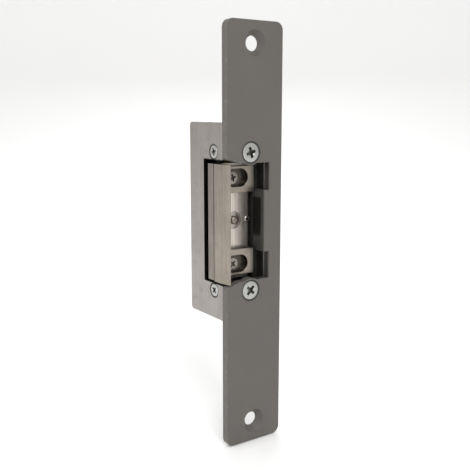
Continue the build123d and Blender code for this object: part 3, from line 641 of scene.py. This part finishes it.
def wire(name, points, thick, body):
    """A round wire along points, as a mesh piece that stands for the CAD spring."""
    curve = bpy.data.curves.new(name, "CURVE")
    curve.dimensions = "3D"
    curve.bevel_depth = thick
    curve.bevel_resolution = 3
    curve.use_fill_caps = True
    spline = curve.splines.new("POLY")
    spline.points.add(len(points) - 1)
    for spot, point in zip(spline.points, points):
        spot.co = (*point, 1)
    path = bpy.data.objects.new(name + "_path", curve)
    bpy.context.scene.collection.objects.link(path)
    graph = bpy.context.evaluated_depsgraph_get()
    data = bpy.data.meshes.new_from_object(path.evaluated_get(graph))
    bpy.data.objects.remove(path)
    for face in data.polygons:
        face.use_smooth = True
    piece = bpy.data.objects.new(name + "_wire", data)
    bpy.context.scene.collection.objects.link(piece)
    dress(piece, wire_steel)
    if body:
        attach(piece, body)
    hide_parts(name)
    return piece


low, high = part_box("keeper_spring")
axle_low, axle_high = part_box("keeper_axle")
axle = (axle_low + axle_high) / 2
wire_radius = 0.27 * MM
mean = axle.x - low.x - 0.35 * MM
top, bottom = high.z - 0.35 * MM, low.z + 0.35 * MM
turns = 11.5
points = [(axle.x - mean, high.y - 0.1 * MM, top)]
for step in range(int(turns * 24) + 1):
    share = step / (turns * 24)
    angle = math.pi + 2 * math.pi * turns * share
    points.append((axle.x + mean * math.cos(angle), axle.y + mean * math.sin(angle),
                   top + (bottom - top) * share))
points += [(axle.x + mean, axle.y + 1.0 * MM, bottom),
           (axle.x + mean + 0.2 * MM, axle.y + 1.7 * MM, bottom),
           (high.x, axle.y + mean, bottom)]
wire("keeper_spring", points, wire_radius, "frame")


def push_spring(name, start, end, mean, thick, turns):
    """A compression spring along Y or Z between a fixed end and a moving end."""
    line = Vector(end) - Vector(start)
    length = line.length - 2 * thick
    frame_of = line.to_track_quat("Z", "Y").to_matrix()
    points = []
    for step in range(int(turns * 20) + 1):
        share = step / (turns * 20)
        flat = min(share * turns, 1.0, (1 - share) * turns)
        rise = share if flat >= 1 else round(share) * (1 - 0.02) + 0.01
        angle = 2 * math.pi * turns * share
        local = Vector((mean * math.cos(angle), mean * math.sin(angle), thick + length * rise))
        points.append(Vector(start) + frame_of @ local)
    piece = wire(name, points, thick, None)
    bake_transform(piece)


low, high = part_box("plunger_spring")
x, z = (low.x + high.x) / 2, (low.z + high.z) / 2
push_spring("plunger_spring", (x, high.y, z), (x, low.y, z), (high.x - low.x) / 2 - 0.25 * MM,
            0.2 * MM, 5)
low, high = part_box("armature_spring")
x, y = (low.x + high.x) / 2, (low.y + high.y) / 2
push_spring("armature_spring", (x, y, high.z), (x, y, low.z), (high.x - low.x) / 2 - 0.15 * MM,
            0.12 * MM, 4)


# Locking lever: sintered steel with a fine granular skin. It turns on its pin in the case and
# stands behind the keeper's fin.
sintered = plated("sintered_steel", (0.22, 0.22, 0.215, 1), (0.32, 0.32, 0.31, 1), 0.38, 4200.0,
                  ALL_WAYS, 0.02 * MM)
lever = softened("locking_lever", 0.12 * MM, "locking_lever")
dress(lever, sintered)


# Yoke, armature and core: soft iron strip and rod, sheared, bent and zinc plated. One screw
# holds the yoke, and the armature turns on its pin.
iron = plated("zinc_plated_iron", (0.40, 0.40, 0.385, 1), (0.52, 0.52, 0.50, 1), 0.34, 1400.0,
              ALONG_Z, 0.01 * MM)
for name, body in (("yoke", "frame"), ("armature", "armature"), ("coil_core", "frame")):
    piece = softened(name, 0.1 * MM, body)
    dress(piece, iron)


# Coil winding: enamelled copper wire, wound in even turns on the bobbin. Only its outer layer
# is shaped, as a row of round ridges.
copper = plated("enamelled_copper", (0.45, 0.16, 0.06, 1), (0.62, 0.27, 0.12, 1), 0.22, 2000.0,
                ALL_WAYS, 0.004 * MM)
low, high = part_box("coil_winding")
centre = (low + high) / 2
WIRE_PITCH = 0.36 * MM
outer_radius = (high.x - low.x) / 2
inner_radius = 2.65 * MM
turn_count = int((high.z - low.z) / WIRE_PITCH)
profile = []
for turn in range(turn_count):
    for part in (0.0, 0.25, 0.5, 0.75):
        bulge = math.sin(math.pi * part) * 0.45 * WIRE_PITCH
        profile.append((outer_radius - 0.5 * WIRE_PITCH + bulge, low.z + (turn + part) * WIRE_PITCH))
rings = [(inner_radius, low.z)] + profile + [(inner_radius, low.z + turn_count * WIRE_PITCH)]
winding_mesh = bmesh.new()
loops = []
for radius, z in rings:
    loop = []
    for i in range(ROUND_STEPS):
        turn = 2 * math.pi * i / ROUND_STEPS
        x = centre.x + radius * math.cos(turn)
        y = centre.y + radius * math.sin(turn)
        loop.append(winding_mesh.verts.new((x, y, z)))
    loops.append(loop)
for first, second in zip(loops, loops[1:] + loops[:1]):
    for i in range(ROUND_STEPS):
        after = (i + 1) % ROUND_STEPS
        winding_mesh.faces.new((first[i], first[after], second[after], second[i]))
bmesh.ops.recalc_face_normals(winding_mesh, faces=winding_mesh.faces)
for face in winding_mesh.faces:
    face.smooth = True
winding_data = bpy.data.meshes.new("coil_winding_turns")
winding_mesh.to_mesh(winding_data)
winding = bpy.data.objects.new("coil_winding_turns", winding_data)
bpy.context.scene.collection.objects.link(winding)
dress(winding, copper)
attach(winding, "frame")
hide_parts("coil_winding")


# Coil bobbin: moulded natural nylon spool with two square flanges. The iron core runs through
# it.
def insulated(name, dark, light, roughness, scale, coat_weight=0.0):
    """Plastic, rubber, tape or lacquer: faint mottling, fine moulding texture and soft gloss."""
    material, shader, at = new_finish(name, Coat_Weight=coat_weight)
    mottle = at.noise(scale, 4.0)
    fine = at.noise(scale * 6, 3.0)
    feed(shader, Base_Color=mottle.ramp(0.3, 0.7).mix(dark, light),
         Roughness=roughness + fine * 0.15,
         Normal=(mottle * 0.5 + fine * 0.5).bump(0.3, 0.02 * MM))
    return material


nylon = insulated("natural_nylon", (0.62, 0.60, 0.54, 1), (0.72, 0.70, 0.64, 1), 0.42, 500.0)
bobbin = softened("coil_bobbin", 0.15 * MM, "frame")
dress(bobbin, nylon)


# Coil tape: amber polyester tape wrapped round the winding, smooth and a little glossy.
# Its own glue holds it.
tape = insulated("amber_tape", (0.42, 0.20, 0.03, 1), (0.52, 0.27, 0.05, 1), 0.22, 300.0, 0.4)
dress(nodes["coil_tape"], tape)


# Coil leads: two wires in black insulation. They run straight down from the bobbin to the
# terminals.
sleeve = insulated("black_insulation", (0.012, 0.012, 0.013, 1), (0.025, 0.025, 0.026, 1), 0.35,
                   700.0)
dress(nodes["coil_leads"], sleeve)


# Varistor: ceramic disc dipped in blue lacquer, across the terminals on two short legs.
# The lacquer is mottled and a little glossy.
lacquer = insulated("blue_lacquer", (0.02, 0.06, 0.22, 1), (0.03, 0.09, 0.30, 1), 0.25, 900.0, 0.3)
dress(nodes["varistor"], lacquer)


# Terminal block and its screws: grey moulded nylon with two poles, and zinc-plated slotted
# screws that face the back of the case.
grey_nylon = insulated("grey_nylon", (0.10, 0.10, 0.10, 1), (0.15, 0.15, 0.15, 1), 0.45, 800.0)
terminals = softened("terminal_block", 0.2 * MM, "frame")
dress(terminals, grey_nylon)
dress(nodes["terminal_screws"], zinc)
